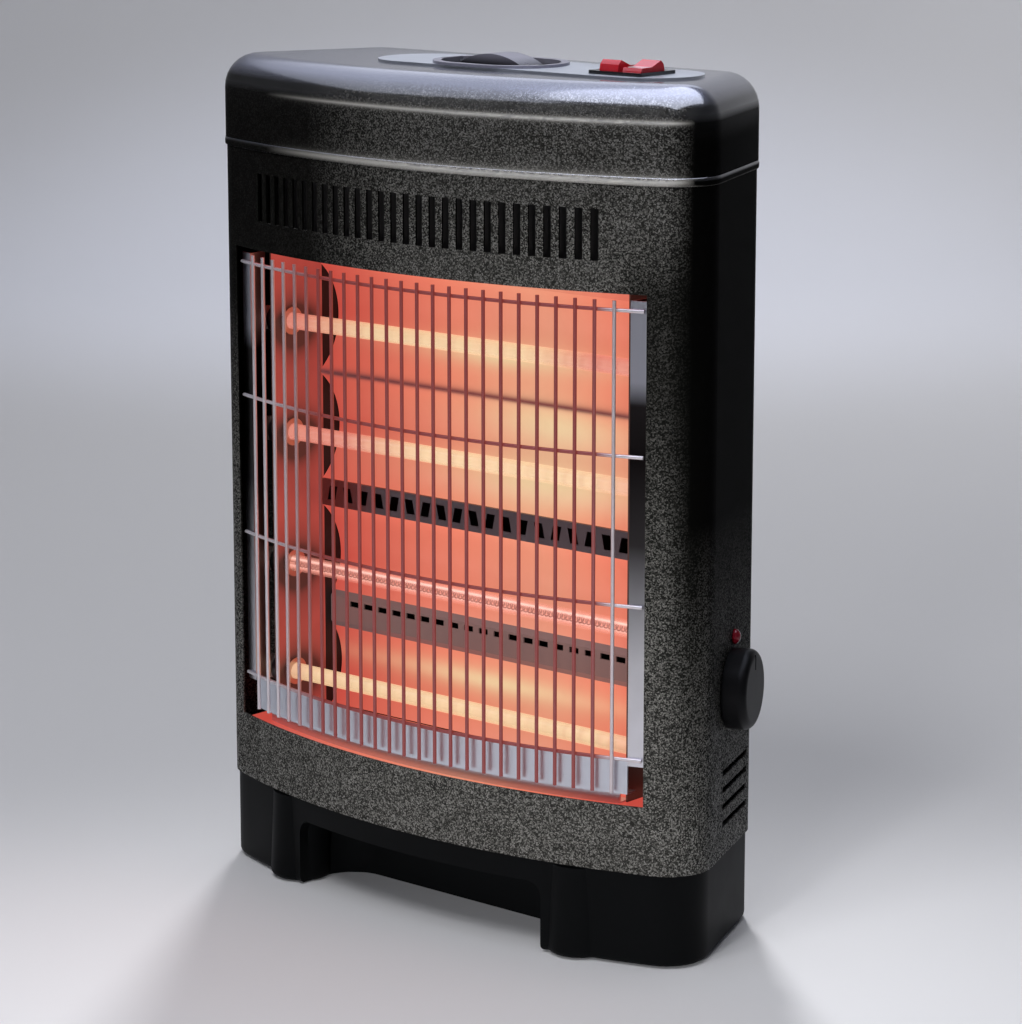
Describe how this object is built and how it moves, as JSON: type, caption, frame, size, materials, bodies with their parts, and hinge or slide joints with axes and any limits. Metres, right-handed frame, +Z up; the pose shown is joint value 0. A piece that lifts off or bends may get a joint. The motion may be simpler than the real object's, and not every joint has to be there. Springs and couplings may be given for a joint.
{
  "type": "halogen heater",
  "caption": "Floor-standing halogen heater: bowed painted steel case, quartz tubes in reflectors behind a chromed wire guard, moulded legs, lid handle, rocker switches and a side knob.",
  "frame": {"origin": "on the floor, under the middle of the case", "axes": "+X to the right of someone who looks at the front, -Y out of the front, +Z up"},
  "size_m": [0.3728, 0.1609, 0.5126],
  "materials": {
    "case_paint": "charcoal hammered paint, glossy",
    "black_plastic": "fine-grained moulding",
    "rubber": "matt",
    "zinc": "zinc-plated",
    "silver_trim": "satin",
    "gloss_black": "glossy",
    "grip_grey": "glossy grey",
    "switch_red": "translucent red",
    "steel": "plain",
    "brass": "plain",
    "ceramic": "glazed ceramic",
    "phenolic": "moulded",
    "reflector": "polished, lit by the tubes",
    "quartz": "clear quartz",
    "filament": "glowing",
    "chrome": "bright",
    "black_steel": "black heat-resistant paint",
    "sleeve": "woven glass sleeve"
  },
  "bodies": {
    "heater": {"base": "black_plastic", "rubber_feet": "rubber", "base_screws": "zinc", "chassis_plate": "zinc", "front_panel": "case_paint", "back_panel": "case_paint", "case_screws": "black_steel", "lid": "case_paint", "control_panel": "silver_trim", "handle_bowl": "gloss_black", "handle_grip": "grip_grey", "switch_frame": "gloss_black", "switch_left_body": "gloss_black", "switch_right_body": "gloss_black", "thermostat_body": "phenolic", "thermostat_nut": "brass", "pilot_lens": "switch_red", "pilot_body": "phenolic", "upright_left": "black_steel", "upright_right": "black_steel", "heat_shield": "zinc", "reflector_upper": "reflector", "reflector_lower": "reflector", "centre_bar": "zinc", "chamber_roof": "reflector", "chamber_floor": "reflector", "vent_baffle": "black_steel", "end_plate_left": "reflector", "end_plate_right": "reflector", "tube_1": "quartz", "tube_2": "quartz", "tube_3": "quartz", "tube_4": "quartz", "heating_coils": "filament", "tube_collars": "chrome", "tube_caps": "ceramic", "tube_clips": "zinc", "wire_guard": "chrome", "guard_channel_left": "chrome", "guard_channel_right": "chrome", "guard_sill": "chrome", "tip_switch_body": "phenolic", "thermal_cutout": "phenolic", "terminal_block": "phenolic", "wiring_loom": "sleeve", "cord_gland": "black_plastic"},
    "rocker_left": {"rocker_left": "switch_red"},
    "rocker_right": {"rocker_right": "switch_red"},
    "knob": {"thermostat_knob": "gloss_black", "thermostat_shaft": "steel"},
    "plunger": {"tip_plunger": "phenolic", "tip_spring": "steel"}
  },
  "joints": [
    {"name": "rocker_left_tilt", "type": "hinge", "parent": "heater", "child": "rocker_left", "pos_m": [0.1042, -0.004, 0.5029], "axis": [1, 0, 0], "range_deg": [0, 24]},
    {"name": "rocker_right_tilt", "type": "hinge", "parent": "heater", "child": "rocker_right", "pos_m": [0.1218, -0.004, 0.5029], "axis": [1, 0, 0], "range_deg": [-24, 0]},
    {"name": "thermostat_turn", "type": "hinge", "parent": "heater", "child": "knob", "pos_m": [0.16757, 0.0225, 0.1535], "axis": [0.9272, 0.3746, 0], "range_deg": [-270, 0]},
    {"name": "tip_plunger_slide", "type": "slide", "parent": "heater", "child": "plunger", "axis": [0, 0, 1], "range_m": [-0.006, 0], "stiffness_N_per_m": 60, "springref_m": -0.012, "deforming": ["tip_spring"]}
  ]
}
